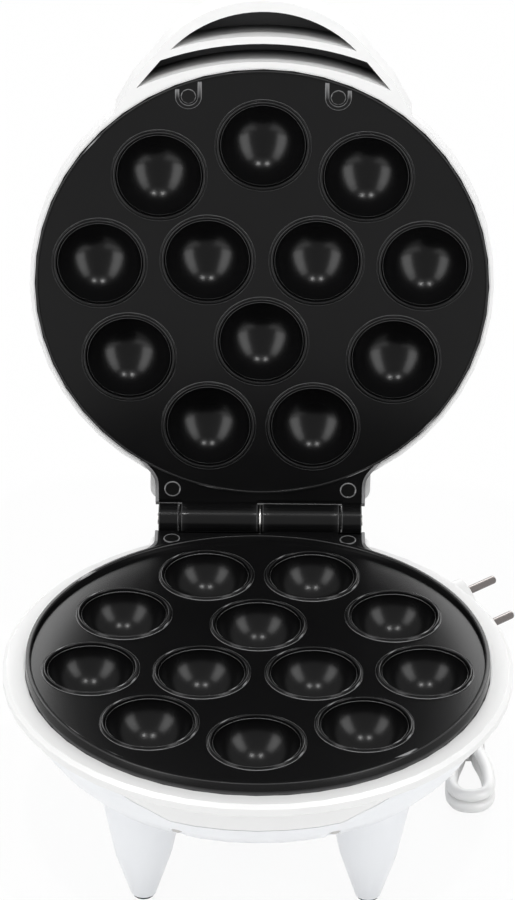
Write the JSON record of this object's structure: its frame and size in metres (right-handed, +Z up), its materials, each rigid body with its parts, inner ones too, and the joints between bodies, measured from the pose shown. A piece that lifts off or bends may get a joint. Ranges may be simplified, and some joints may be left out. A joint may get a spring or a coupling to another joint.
{
  "type": "takoyaki maker",
  "caption": "Round electric takoyaki maker standing open: black nonstick cup plates in a white housing on four legs, with a hinged lid, a crescent handle and a tied cord.",
  "frame": {"origin": "middle of the open appliance's bounding box without the cord, at the table", "axes": "+X to the right along the hinge, +Y to the back where the hinge and the open lid are, +Z up"},
  "size_m": [0.2336, 0.2925, 0.3384],
  "materials": {
    "white_shell": "satin",
    "white_pan": "satin",
    "nonstick": "satin",
    "bright_steel": "polished",
    "screw_steel": "satin",
    "plain_steel": "satin",
    "heater_steel": "matte",
    "dark_plastic": "matte",
    "white_soft": "matte",
    "rubber": "matte",
    "lens": "gloss"
  },
  "bodies": {
    "base": {"base_housing": "white_shell", "base_pan": "white_pan", "rubber_feet": "rubber", "base_plate": "nonstick", "hinge_pin": "bright_steel", "base_heater": "heater_steel", "base_heat_shield": "plain_steel", "base_shield_screws": "screw_steel", "thermostat": "plain_steel", "thermal_fuse": "plain_steel", "terminal_strip": "dark_plastic", "base_hinge_screws": "screw_steel", "pan_screws": "screw_steel", "cord_gland": "white_soft", "cord_run": "white_soft", "cord_hank": "white_soft", "cord_lead": "white_soft", "cord_tie": "white_soft", "plug_body": "white_soft", "plug_pins": "bright_steel"},
    "lid": {"lid_shell": "white_shell", "handle_liner": "dark_plastic", "lid_plate": "nonstick", "lid_heater": "heater_steel", "lid_heat_shield": "plain_steel", "lid_shield_screws": "screw_steel", "lid_plate_screws": "screw_steel", "lid_hinge_screws": "screw_steel", "lamp_lenses": "lens"}
  },
  "joints": [
    {"name": "lid_hinge", "type": "hinge", "parent": "base", "child": "lid", "pos_m": [0, 0.08408, 0.092], "axis": [1, 0, 0], "range_deg": [0, 97]}
  ]
}
